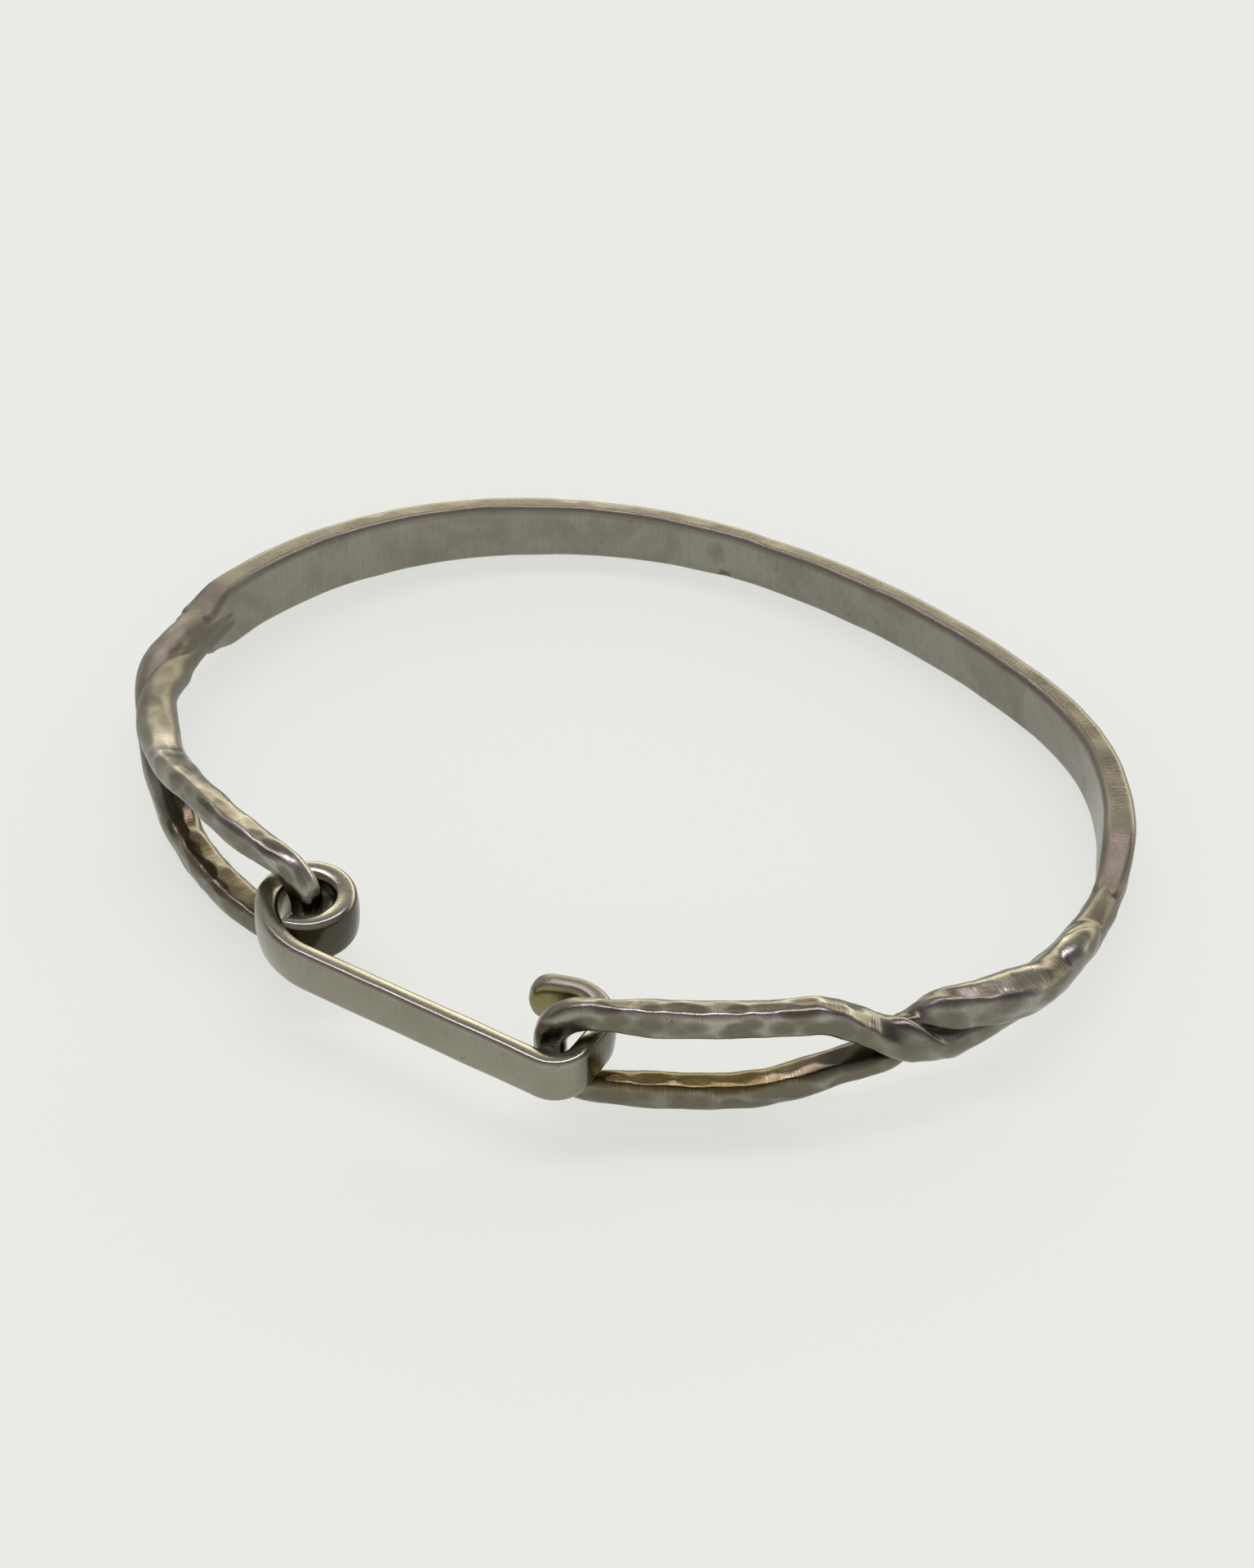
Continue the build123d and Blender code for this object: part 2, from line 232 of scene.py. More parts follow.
rightEnd = {
    "side": 1, "strand": 1.87, "eyeHeight": 7.3, "eyeLength": 19.0, "twist": 17.4,
    "upperClose": 5.4, "lowerClose": 9.4, "edge": 0.5, "twistDepth": 0.05, "patina": 1.0, "seed": 202,
    "wireWidth": [(0.0, 0.78), (0.12, 0.8), (0.3, 1.0), (0.7, 1.0)],
    "turns": [(-0.15, 90), (-0.1, 84), (-0.05, 66), (0.0, 40), (0.05, 8), (0.1, -27), (0.15, -55),
              (0.2, -75), (0.26, -90), (0.5, -129), (0.67, -151), (0.815, -218), (0.93, -260), (1.0, -270)],
    "pair": [(-0.1, 2.8, 2.4), (0.0, 2.95, 2.55), (0.06, 3.1, 2.2), (0.12, 3.25, 2.0), (0.2, 3.25, 2.0),
             (0.3, 3.0, 2.1), (0.4, 2.7, 2.25), (0.5, 2.5, 2.28), (0.62, 2.33, 2.2), (0.8, 2.2, 2.1),
             (1.0, 1.95, 1.85)],
    "weld": [(-0.2, 0.0, 0.55), (-0.05, -0.1, 0.7), (0.1, -0.45, 0.68), (0.35, -0.6, 0.68),
             (0.5, -1.0, 0.85), (0.6, -1.8, 1.05), (1.0, -1.8, 1.0)],
    "lower": [(-0.05, 1.0), (0.1, 1.2), (0.24, 1.42), (0.4, 1.45), (0.55, 1.25), (0.72, 1.0)],
    "roll": [(0.0, 0.0, 0.0), (0.12, 4.0, 3.0), (0.72, 4.0, 4.0), (0.9, -10.0, 2.0), (1.0, -11.0, 5.0),
             (1.1, -12.0, 18.0), (1.18, 0.0, 20.0), (1.24, 0.0, 10.0), (1.28, 0.0, 3.0),
             (1.35, 0.0, -9.0), (1.46, 0.0, -9.0), (1.6, 0.0, 0.0)],
    "marks": [(0.54, 80, 1.15, 1.0, 0.8, 0.08), (0.97, 70, 1.0, 0.7, 0.5, 0.06)],
    "bosses": [(0.71, 70, 1.05, 2.0, 1.3, 0.33)],
    "dulled": [(-0.35, 0.0), (-0.2, 0.008), (0.06, 0.008), (0.14, 0.0), (0.44, 0.0), (0.5, 0.02),
               (0.58, 0.02), (0.62, 0.0), (0.72, 0.0), (0.78, 0.022), (1.0, 0.022)],
    "upwardShade": [(-0.35, 0.0), (-0.22, 0.55), (0.05, 0.55), (0.14, 0.0), (0.44, 0.0), (0.5, 0.35),
                (0.58, 0.3), (0.62, 0.0), (0.72, 0.0), (0.79, 0.4), (1.0, 0.4)],
    "satin": [(-0.1, 0.0), (0.6, 0.1), (0.76, 0.15), (0.88, 0.7), (1.0, 1.0)],
}
wireShape = {
    "eyeCorner": 2.2, "crown": 0.11,
    "run": 3.6,             # how far the strands sink into the band
    "sunk": 0.72,           # their size there
    "step": 0.17, "perSide": 7, "perCorner": 8,
    "bendRows": 14,         # rows of each quarter turn of the eye's end
    "deeper": 0.4,          # how much of a thicker lower strand's extra size its depth takes
    "sizeSway": (0.05, 0.07),   # unevenness of the two half sizes
    "eyeBlow": {"pitch": 1.4, "long": 0.98, "wide": 0.54, "sway": 2},
    "twistBlow": {"pitch": 2.0, "long": 1.3, "wide": 0.8, "sway": 5},
    "eyeDepth": 0.06,
    "twistLead": 2,         # the twist's blows start this far before it
    "lowerDulled": 0.009,   # the lower strands are duller
    # painted shade in the groove between the twist's strands
    "grooveShade": 0.42,     # dark between the strands of the twist
}


# point and directions of the line at distances inward from one end
def endStation(end, inward):
    return station(lineLength - inward if end["side"] > 0 else inward)


# share of the twist at distances inward from one end: 0 at the eye and 1 at the band
def twistShare(end, inward):
    return (inward - end["eyeLength"]) / end["twist"]


# middle of the upper (1) or lower (-1) strand: the line + reach (cos turn outward + sin turn up), where
# reach swells from half a strand's width and half the gap, in the twist, to the open eye's
def strandMiddle(end, inward, side):
    point, along, outward = endStation(end, inward)
    share = twistShare(end, inward)
    angle = np.radians(between(end["turns"], share)[0])[:, None]
    outer = outward * np.cos(angle) + up * np.sin(angle)
    paired = (between(end["pair"], share)[0] + between(end["weld"], share)[0]) / 4
    opened = swell((end["eyeLength"] - inward) / end["upperClose" if side > 0 else "lowerClose"])
    paired = paired * (1.0 if side > 0 else between(end["lower"], share)[0])
    reach = paired + ((end["eyeHeight"] - end["strand"]) / 2 - paired) * opened
    return point + outer * side * reach[:, None], outer * side, along, opened


# a strand's frames and half sizes: across the line in the twist, across its own direction in the eye,
# and turned about that direction by the roll
def strandRows(end, side, inward):
    middle, outer, along, opened = strandMiddle(end, inward, side)
    near, full = 0.05, 3    # distance over which its own direction is taken, how soon that holds alone
    own = unit(strandMiddle(end, inward - near, side)[0] - strandMiddle(end, inward + near, side)[0])
    way = along * end["side"]
    way = unit(way + (own - way) * np.minimum(full * opened, 1)[:, None]) * side
    outer = unit(outer - way * (outer * way).sum(-1, keepdims=True))
    share, eyeShare = twistShare(end, inward), inward / end["eyeLength"]
    pairWidth, pairDepth = between(end["pair"], share)
    weld, pairEdge = between(end["weld"], share)
    pastTwist = (inward - end["eyeLength"] - end["twist"]) / wireShape["run"]
    sunk = 1 - (1 - wireShape["sunk"]) * swell(pastTwist)
    width = end["strand"] / 2 * between(end["wireWidth"], eyeShare)[0]
    bulk = 1.0 if side > 0 else between(end["lower"], share)[0]
    halfA = (pairWidth - weld) / 4 * sunk * bulk
    halfB = pairDepth / 2 * sunk * (1 + (bulk - 1) * wireShape["deeper"])
    halfA = halfA + (end["strand"] / 2 - halfA) * opened
    halfB = halfB + (width * bulk - halfB) * opened
    edge = pairEdge + (end["edge"] - pairEdge) * opened
    sideways = np.cross(way, outer)
    roll = np.radians(between(end["roll"], eyeShare)[0 if side > 0 else 1])[:, None] * end["side"]
    outer, sideways = (outer * np.cos(roll) + sideways * np.sin(roll),
                       sideways * np.cos(roll) - outer * np.sin(roll))
    return middle, outer, sideways, way, halfA, halfB, edge, opened, inward


# the eye's closed end: quarter turn, straight, quarter turn, at the angle counted from straight up
def eyeBend(end):
    corner = wireShape["eyeCorner"]
    reach = (end["eyeHeight"] - end["strand"]) / 2 - corner
    quarter = np.linspace(0, np.pi / 2, wireShape["bendRows"])[1:]
    straight = np.linspace(reach, -reach, int(2 * reach / wireShape["step"]) + 2)[1:-1]
    level = np.full(len(straight), np.pi / 2)
    angle = np.concatenate([quarter, level, np.pi / 2 + np.append(0, quarter[:-1])])
    base = np.concatenate([np.full(len(quarter), reach), straight, np.full(len(quarter), -reach)])
    inward = corner * (1 - np.sin(angle))
    point, along = endStation(end, inward)[:2]
    outerEnd = along * end["side"]
    c, s = np.cos(angle)[:, None], np.sin(angle)[:, None]
    outer, way = up * c + outerEnd * s, outerEnd * c - up * s
    middle = point + up * (base[:, None] + corner * c)
    size = np.full(len(angle), end["strand"] / 2)
    return (middle, outer, np.cross(way, outer), way, size, size * end["wireWidth"][0][1],
            np.full(len(angle), end["edge"]), np.ones(len(angle)), inward)


# single blows or bosses on a twist: the line's point + radius (cos angle outward + sin angle up)
def markBlows(end, name):
    share, angle, radius, longs, wides, depths = np.array(end[name], float).T
    point, along, outward = endStation(end, end["eyeLength"] + end["twist"] * share)
    angle = np.radians(angle)[:, None]
    centres = point + radius[:, None] * (outward * np.cos(angle) + up * np.sin(angle))
    return centres, along, longs, wides, depths


# the wire of one end: out of the band along the upper strand, round the eye and back along the lower one,
# with every point moved along its normal by the bosses less the deepest blow
def endWire(end):
    last = end["eyeLength"] + end["twist"] + wireShape["run"]
    count = int((last - wireShape["eyeCorner"]) / wireShape["step"])
    inward = np.linspace(last, wireShape["eyeCorner"], count)
    pieces = strandRows(end, 1, inward), eyeBend(end), strandRows(end, -1, inward[::-1])
    middle, outer, sideways, way, halfA, halfB, edge, opened, inward = map(np.concatenate, zip(*pieces))
    travelled = pathLength(middle)
    halfA = halfA * (1 + wobble(travelled, wireShape["sizeSway"][0], end["seed"]))
    halfB = halfB * (1 + wobble(travelled, wireShape["sizeSway"][1], end["seed"] + 1))
    points, normals, girth = barGrid(middle, outer, sideways, halfA, halfB, edge, wireShape)
    rng = np.random.default_rng(end["seed"])
    perSide, perCorner = wireShape["perSide"], wireShape["perCorner"]
    faces = [(perSide + perCorner) * k + perCorner + spot for k in range(4) for spot in (0, perSide - 1)]
    paired = inward > end["eyeLength"] - wireShape["twistLead"]
    push = np.zeros(points.shape[:2])
    for name, depth, wanted in (("eyeBlow", wireShape["eyeDepth"], ~paired),
                                ("twistBlow", end["twistDepth"], paired)):
        blow = dict(wireShape[name], depth=depth, rowStep=wireShape[name]["pitch"] / wireShape["step"])
        rows = np.arange(0, len(middle), blow["rowStep"])
        rows = rows[wanted[rows.astype(int)]]
        push = np.maximum(push, dents(points, *blowsOn(points, way, blow, rows, faces, rng)))
    push = np.maximum(push, dents(points, *markBlows(end, "marks")))
    boss = dents(points, *markBlows(end, "bosses"))
    share = twistShare(end, inward)
    dulled, upwardShade, satin = (between(end[name], share)[0][:, None] for name in ("dulled", "upwardShade", "satin"))
    lowerStrand = (swell(-middle[:, 2]) * np.minimum(opened * 2, 1))[:, None]
    inside = np.clip(-(normals * outer[:, None]).sum(-1), 0, 1)
    facingUp = np.clip(normals[..., 2], 0, 1)
    # painted shade in the mask below: dark in the groove between the twist's strands and on the faces that
    # look up
    return {"points": points - normals * (push - boss)[..., None], "girth": girth, "travelled": travelled,
            "push": push + dulled + lowerStrand * wireShape["lowerDulled"],
            "patina": end["patina"] * inside * opened[:, None],
            "paintedShade": wireShape["grooveShade"] * inside * (1 - opened)[:, None] + upwardShade * facingUp,
            "satin": np.broadcast_to(satin, push.shape)}


# The band on edge between the two twists
bandShape = {
    "height": 4.3, "thickness": 1.95, "edge": 0.5, "crown": 0.01, "step": 0.25, "perSide": 9, "perCorner": 8,
    "hidden": 1.6,          # stretch of the band inside the strands
    "buried": 0.5,          # how much thinner it gets there
    "pairSize": (0.97, 0.95),   # size at the shoulders, as shares of each pair's width and depth
    "shoulders": (2.4, 4.6),    # left and right stretch from there to the band's size
    # share of the length, height and thickness as shares of the band's
    "rows": [(0.0, 1.03, 1.03), (0.25, 0.97, 0.88), (0.5, 0.8, 0.83), (0.75, 0.88, 0.83),
             (1.0, 0.84, 1.05)],
    "sizeSway": (0.015, 0.03),  # unevenness of the height and thickness
    # hollow of the inner face: mean, sway, shortest and longest wave
    "hollow": (0.03, 0.05, 3.0, 12.0),
    "seeds": (3, 4, 8),     # of the height's, thickness's and inner face's unevenness
    # blows on the outside: the columns about its middle, and the rows without any at each end
    "blow": {"pitch": 1.7, "long": 1.5, "wide": 1.1, "depth": 0.04, "sway": 3, "columns": (-4, 0, 4),
             "spare": 4, "seed": 23},
    # nicks on the inner face: distance, height, half length, half width, depth
    "nicks": [(39.3, -1.55, 0.55, 0.45, 0.3), (38.6, 0.2, 0.7, 0.9, 0.05)],
    "nickInset": 0.8,       # how far inside the middle line they are struck
    # painted shade in the nicks, times their depth
    "nickShade": 2,
    # the dulling of all faces, then painted shade that dulls the faces that look up
    "dulled": 0.014, "topShade": 0.024,
    "blowDulled": 0.3,      # share of the blows' depth that dulls
    # how much rougher: all over, on the inner upper edge, at the shoulders
    "satin": (0.35, 1.6, 0.8),
    "shoulderSatin": (2.0, 5.0),    # where that starts to fade, over how much
}


# the band: its outline carried along the line, its half sizes swelling from the pair's at each shoulder
def bandGrid():
    length = lineLength - sum(end["eyeLength"] + end["twist"] for end in (leftEnd, rightEnd))
    hidden, begin = bandShape["hidden"], leftEnd["eyeLength"] + leftEnd["twist"]
    spot = np.linspace(-hidden, length + hidden, int((length + 2 * hidden) / bandShape["step"]))
    middle, along, outward = station(begin + spot)
    height, thickness = (v / 2 for v in between(bandShape["rows"], spot / length))
    height, thickness = height * bandShape["height"], thickness * bandShape["thickness"]
    onLeft, inwards = spot < length / 2, np.minimum(spot, length - spot)
    grown = swell(inwards / np.where(onLeft, *bandShape["shoulders"]))
    buried = 1 - bandShape["buried"] * swell(-inwards / hidden)
    pairWidth, pairDepth = (np.where(onLeft, leftEnd["pair"][-1][k], rightEnd["pair"][-1][k]) / 2 * share
                            for k, share in zip((1, 2), bandShape["pairSize"]))
    swayA, swayB = (wobble(spot, *v) for v in zip(bandShape["sizeSway"], bandShape["seeds"]))
    height = (pairWidth + (height - pairWidth) * grown) * buried * (1 + swayA)
    thickness = (pairDepth + (thickness - pairDepth) * grown) * buried * (1 + swayB)
    points, normals, girth = barGrid(middle, np.broadcast_to(up, middle.shape), -outward, height,
                                     thickness, bandShape["edge"], bandShape)
    blow = dict(bandShape["blow"], rowStep=bandShape["blow"]["pitch"] / bandShape["step"])
    perFace = bandShape["perSide"] + bandShape["perCorner"]
    outside = perFace * 2 + bandShape["perCorner"] + bandShape["perSide"] // 2
    rows = np.arange(blow["spare"], len(spot) - blow["spare"], blow["rowStep"])
    columns = [outside + column for column in blow["columns"]]
    rng = np.random.default_rng(blow["seed"])
    push = dents(points, *blowsOn(points, along, blow, rows, columns, rng))
    place, high, longs, wides, depths = np.array(bandShape["nicks"]).T
    point, ways, outwards = station(begin + place)
    struck = point - outwards * bandShape["nickInset"] + up * high[:, None]
    nick = dents(points, struck, ways, longs, wides, depths)
    push = push + nick
    inner = np.clip(-(normals * outward[:, None]).sum(-1), 0, 1)
    hollow, sway, shortest, longest = bandShape["hollow"]
    uneven = inner * (hollow + wobble(spot, sway, bandShape["seeds"][2], shortest, longest))[:, None]
    top, none = np.clip(normals[..., 2], 0, 1), np.zeros(push.shape)
    allOver, innerTop, shoulder = bandShape["satin"]
    starts, fade = bandShape["shoulderSatin"]
    # painted shade: the nicks darkened by their depth
    return {"points": points - normals * (push + uneven)[..., None], "girth": girth,
            "travelled": spot + hidden, "patina": none, "paintedShade": nick * bandShape["nickShade"],
            # painted shade: the faces that look up dulled darker
            "push": push * bandShape["blowDulled"] + bandShape["dulled"] + bandShape["topShade"] * top,
            "satin": none + allOver + innerTop * top * inner
            + shoulder * (1 - swell((inwards - starts) / fade))[:, None]}


# The hook bar: a strip on edge, curled round the left eye and hooked round the right one
hookShape = {
    "height": 2.95, "thickness": 1.4, "edge": 0.3, "crown": 0.13, "lean": 0.09, "perSide": 12, "perCorner": 8,
    "curlInside": 2.0, "curlWall": 0.95,
    "curlExtra": 0.55,      # how much thicker the curl's wall is on its inside
    "curlStop": -82.0, "curlLeave": 206.0, "curlRun": 2.6,
    "reach": 2.1, "bend": 1.5, "tipBend": 2.15, "tipDepth": 3.55, "tipTurn": 108.0, "tipLength": 2.4,
    "tipRound": 1.4, "tipSoft": 0.5,    # rounding of the tip's height and thickness
    "frontGap": 0.6, "restGap": 0.28,   # air in front of the right eye's end wire and under the bar
    "counts": [100, 44, 110, 24, 10, 40, 48],   # rows of curl, lead, bar, corner, side, turn and tip
    "slimmed": 0.97, "sizeSway": (0.012, 0.03), "seeds": (31, 32),  # of height and thickness
    # masks: distance from the tip, or from the curl's end, and the length over which each grows
    "tipMask": (6.0, 3.0), "hookedMask": (9.6, 1.5), "curlMask": (8.0, 4.0),
    "wallMask": (1.5, -0.35),   # factor and offset on how far a face looks outwards
    "dulled": 0.014, "tipDulled": 0.022, "tipSatin": 0.8,
    # painted shade: how much darker the curl's wall and inside, the hooked part's outer faces and the tip's
    # outer faces are
    "curlShade": (1.15, 0.8),    # the curl's wall and inside
    "hookedShade": 0.85, "tipShade": 0.4,
}


# points of an arc about a middle: middle + radius (cos, sin)
def arcPoints(middle, radius, first, last, count):
    t = np.linspace(first, last, count)[:, None]
    return np.array(middle) + radius * np.concatenate([np.cos(t), np.sin(t)], 1)


# points of the cubic that leaves a with direction da and arrives at b with direction db, each as long
# as the chord
def leadPoints(a, da, b, db, count):
    t = np.linspace(0, 1, count)[:, None]
    chord = np.linalg.norm(b - a)
    return ((2 * t**3 - 3 * t**2 + 1) * a + (t**3 - 2 * t**2 + t) * da * chord
            + (-2 * t**3 + 3 * t**2) * b + (t**3 - t**2) * db * chord)


# one side of the strip in plan, a distance off its middle line: curl, lead, bar, corner, side, turn and tip
def stripSide(offset, wallRadius, farX, backY):
    h, n = hookShape, hookShape["counts"]
    barY = -h["curlInside"] - h["curlWall"] - h["thickness"] / 2 - offset
    leave, corner, bend = np.radians(h["curlLeave"]), h["bend"] + offset, h["tipBend"] + offset
    curl = arcPoints((0, 0), wallRadius, np.radians(h["curlStop"]), leave, n[0])
    lead = leadPoints(curl[-1], np.array([-np.sin(leave), np.cos(leave)]), np.array([h["curlRun"], barY]),
                      np.array([1.0, 0.0]), n[1])
    bar = np.linspace((h["curlRun"], barY), (farX - h["bend"], barY), n[2])
    front = arcPoints(bar[-1] + [0, corner], corner, -np.pi / 2, 0, n[3])
    side = np.linspace(front[-1], (farX + offset, backY - h["tipBend"]), n[4])
    last = np.radians(h["tipTurn"])
    turn = arcPoints(side[-1] - [bend, 0], bend, 0, last, n[5])
    closer = np.sin(np.linspace(0, np.pi / 2, n[6]))[:, None]
    tip = turn[-1] + closer * h["tipLength"] * np.array([-np.sin(last), np.cos(last)])
    return np.concatenate([curl] + [v[1:] for v in (lead, bar, front, side, turn, tip)])


# how far the strip draws in at its tip, like a circle: radius (1 - the root of 1 - past^2), where past
# goes from 0 to 1 over the last radius
def drawnIn(travelled, radius):
    past = np.clip((travelled - travelled[-1]) / radius + 1, 0, 1)
    return radius * (1 - np.sqrt(1 - past ** 2))


# the hook bar: middle and half thickness from its two sides, height and thickness rounded off at the tip
def hookGrid():
    h = hookShape
    toRight = (rightPoint - leftPoint)[:2]
    span = np.hypot(*toRight)
    endWireHalf = rightEnd["strand"] * rightEnd["wireWidth"][0][1] / 2
    wireY = -h["curlInside"] - h["curlWall"] + h["frontGap"] + endWireHalf
    heading = np.arctan2(toRight[1], toRight[0]) - np.arcsin(wireY / span)
    place = np.sqrt(span ** 2 - wireY ** 2) + h["reach"], wireY + h["tipDepth"]
    outer = stripSide(h["thickness"] / 2, h["curlInside"] + h["curlWall"], *place)
    inner = stripSide(-h["thickness"] / 2, h["curlInside"] - h["curlExtra"], *place)
    thick = np.linalg.norm(outer - inner, axis=1) / 2
    turned = np.array([[np.cos(heading), np.sin(heading)], [-np.sin(heading), np.cos(heading)]])
    middle, across = (outer + inner) / 2 @ turned + leftPoint[:2], unit(outer - inner) @ turned
    low = rightEnd["strand"] - min(leftEnd["eyeHeight"], rightEnd["eyeHeight"]) / 2 + h["restGap"]
    travelled = pathLength(middle)
    swayA, swayB = (wobble(travelled, *v) for v in zip(h["sizeSway"], h["seeds"]))
    tall = h["height"] / 2 * (1 + swayA) - drawnIn(travelled, h["tipRound"])
    thick = thick * (h["slimmed"] + swayB) - drawnIn(travelled, h["tipSoft"])
    lift = np.full((len(middle), 1), low + h["height"] / 2)
    middle = np.concatenate([middle, lift], 1)
    across = np.concatenate([across, 0 * lift], 1)
    points, normals, girth = barGrid(middle, across + h["lean"] * up, np.broadcast_to(-up, middle.shape),
                                     thick, tall, h["edge"], h)
    looks = (normals * across[:, None]).sum(-1)
    inside, outside = np.clip(-looks, 0, 1), np.clip(looks, 0, 1)
    tip, hooked = (swell((travelled - travelled[-1] + start) / grows)[:, None]
                   for start, grows in (h["tipMask"], h["hookedMask"]))
    curlStart, curlGrows = h["curlMask"]
    curl = 1 - swell((travelled - curlStart) / curlGrows)[:, None]
    wallFactor, wallOffset = h["wallMask"]
    wall = np.clip(wallFactor * outside + wallOffset, 0, 1)
    wallDark, insideDark = h["curlShade"]
    # painted shade in the mask below, on the curl, the hooked part and the tip
    return {"points": points, "girth": girth, "travelled": travelled, "patina": inside * tip,
            "push": h["dulled"] + h["tipDulled"] * (1 - inside) * tip,
            "paintedShade": (wallDark * wall + insideDark * inside) * curl
            + h["hookedShade"] * wall * (hooked * (1 - tip)) + h["tipShade"] * (1 - inside) * tip,
            "satin": h["tipSatin"] * (1 - inside) * tip}


# quads between the rows and columns of tubes that close round, and one polygon over each open end
def tubeFaces(rows, columns, offset):
    r, c = np.meshgrid(np.arange(rows - 1), np.arange(columns), indexing="ij")
    n = (c + 1) % columns
    quads = np.stack([r * columns + c, r * columns + n, (r + 1) * columns + n, (r + 1) * columns + c], -1)
    caps = [(offset + np.arange(columns)[::-1]).tolist(),
            (offset + (rows - 1) * columns + np.arange(columns)).tolist()]
    return (quads.reshape(-1, 4) + offset).tolist() + caps


flowScale = 0.1     # of the UV map, in each millimetre along and round a tube


# one mesh from several tubes, with their lengths and girths as a UV map and their masks as attributes
def tubePiece(name, grids):
    faces, offset = [], 0
    for grid in grids:
        rows, columns = grid["girth"].shape
        faces += tubeFaces(rows, columns, offset)
        offset += rows * columns
    vertices = np.concatenate([atRest(grid["points"]).reshape(-1, 3) for grid in grids]) * millimetre
    mesh = bpy.data.meshes.new(name)
    mesh.from_pydata(vertices.tolist(), [], faces)
    lengths = [np.broadcast_to(grid["travelled"][:, None], grid["girth"].shape) for grid in grids]
    flow = np.concatenate([np.stack([length, grid["girth"]], -1).reshape(-1, 2)
                           for length, grid in zip(lengths, grids)])
    corners = np.empty(len(mesh.loops), np.int32)
    mesh.loops.foreach_get("vertex_index", corners)
    uv = (flow[corners] * flowScale).astype(np.float32)
    mesh.uv_layers.new(name="flow").data.foreach_set("uv", uv.ravel())
    for label in ("push", "patina", "paintedShade", "satin"):
        values = np.concatenate([grid[label].ravel() for grid in grids]).astype(np.float32)
        mesh.attributes.new(label, "FLOAT", "POINT").data.foreach_set("value", values)
    mesh.polygons.foreach_set("use_smooth", np.ones(len(mesh.polygons), bool))
    mesh.update()
    piece = bpy.data.objects.new(name, mesh)
    bpy.context.scene.collection.objects.link(piece)
    print(name, "made of", len(mesh.polygons), "faces")
    return piece


wire = tubePiece("hammeredWire", [bandGrid(), endWire(leftEnd), endWire(rightEnd)])
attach(wire, "bangle")
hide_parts("bangle_body")

hook = tubePiece("hookStrip", [hookGrid()])
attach(hook, "hook")
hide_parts("hook_bar")


# a node group of the given number sockets and their values, ready to be filled, with one number put out
def newGroup(name, inputs, output):
    group = bpy.data.node_groups.new(name, "ShaderNodeTree")
    for label, value in inputs.items():
        socket = group.interface.new_socket(label, in_out="INPUT", socket_type="NodeSocketFloat")
        socket.default_value = value
    group.interface.new_socket(output, in_out="OUTPUT", socket_type="NodeSocketFloat")
    return group, group.nodes.new("NodeGroupInput"), group.nodes.new("NodeGroupOutput")


# a node with its settings, each of its named inputs linked to a socket or set to a value
def addNode(tree, kind, links=None, **settings):
    node = tree.nodes.new(kind)
    for key, value in settings.items():
        setattr(node, key, value)
    for key, value in (links or {}).items():
        if isinstance(value, bpy.types.NodeSocket):
            tree.links.new(value, node.inputs[key])
        else:
            node.inputs[key].default_value = value
    return node


# one operation on numbers or sockets, such as a product
def worked(tree, operation, *values, clamp=False):
    return addNode(tree, "ShaderNodeMath", dict(enumerate(values)), operation=operation,
                   use_clamp=clamp).outputs[0]


# a value times a factor plus an offset
def scaled(tree, value, factor, offset=0.0, clamp=False):
    return worked(tree, "MULTIPLY_ADD", value, factor, offset, clamp=clamp)


# a colour that goes from the first to the second as the factor goes from 0 to 1
def mixColour(tree, factor, first, second):
    return addNode(tree, "ShaderNodeMix", {0: factor, 6: first, 7: second}, data_type="RGBA").outputs[2]


# a group placed in a tree with its own values
def useGroup(tree, group, **values):
    node = addNode(tree, "ShaderNodeGroup", node_tree=group)
    for key, value in values.items():
        node.inputs[key].default_value = value
    return node


# streaks of the brush or file: noise that is fine along the strip and long across it, less its mean of a half
def makeStreaks():
    group, given, put = newGroup("brushedStreaks", {"Along": 60.0, "Across": 4.0}, "Streak")
    flow = addNode(group, "ShaderNodeUVMap", uv_map="flow")
    split = addNode(group, "ShaderNodeSeparateXYZ", {0: flow.outputs[0]})
    along = worked(group, "MULTIPLY", split.outputs[0], given.outputs["Along"])
    across = worked(group, "MULTIPLY", split.outputs[1], given.outputs["Across"])
    joined = addNode(group, "ShaderNodeCombineXYZ", {0: along, 1: across})
    noise = addNode(group, "ShaderNodeTexNoise", {"Vector": joined.outputs[0], "Scale": 1.0,
                                                  "Detail": 3.0, "Roughness": 0.65})
    group.links.new(worked(group, "SUBTRACT", noise.outputs[0], 0.5), put.inputs["Streak"])
    return group


# patches of tarnish: noise on the object, squeezed to a soft mask that covers about the given share
def makeBloom():
    group, given, put = newGroup("tarnishBloom", {"Size": 220.0, "Cover": 0.5}, "Mask")
    spot = addNode(group, "ShaderNodeTexCoord")
    wide = addNode(group, "ShaderNodeTexNoise", {"Vector": spot.outputs["Object"],
                                                 "Scale": given.outputs["Size"], "Detail": 5.0,
                                                 "Roughness": 0.6, "Distortion": 0.6})
    softness = 0.14         # half the range of noise over which a patch fades
    edge = worked(group, "SUBTRACT", 1.0, given.outputs["Cover"])
    low = worked(group, "SUBTRACT", edge, softness)
    high = worked(group, "ADD", edge, softness)
    mask = addNode(group, "ShaderNodeMapRange", {"Value": wide.outputs[0], "From Min": low, "From Max": high},
                   interpolation_type="SMOOTHSTEP")
    group.links.new(mask.outputs[0], put.inputs["Mask"])
    return group


# small pits and scratches: fine noise on the object, less its mean of a half
def makePits():
    group, given, put = newGroup("finePits", {"Size": 3500.0}, "Pit")
    spot = addNode(group, "ShaderNodeTexCoord")
    fine = addNode(group, "ShaderNodeTexNoise", {"Vector": spot.outputs["Object"],
                                                 "Scale": given.outputs["Size"], "Detail": 4.0,
                                                 "Roughness": 0.7})
    group.links.new(worked(group, "SUBTRACT", fine.outputs[0], 0.5), put.inputs["Pit"])
    return group


streaksGroup, bloomGroup, pitsGroup = makeStreaks(), makeBloom(), makePits()
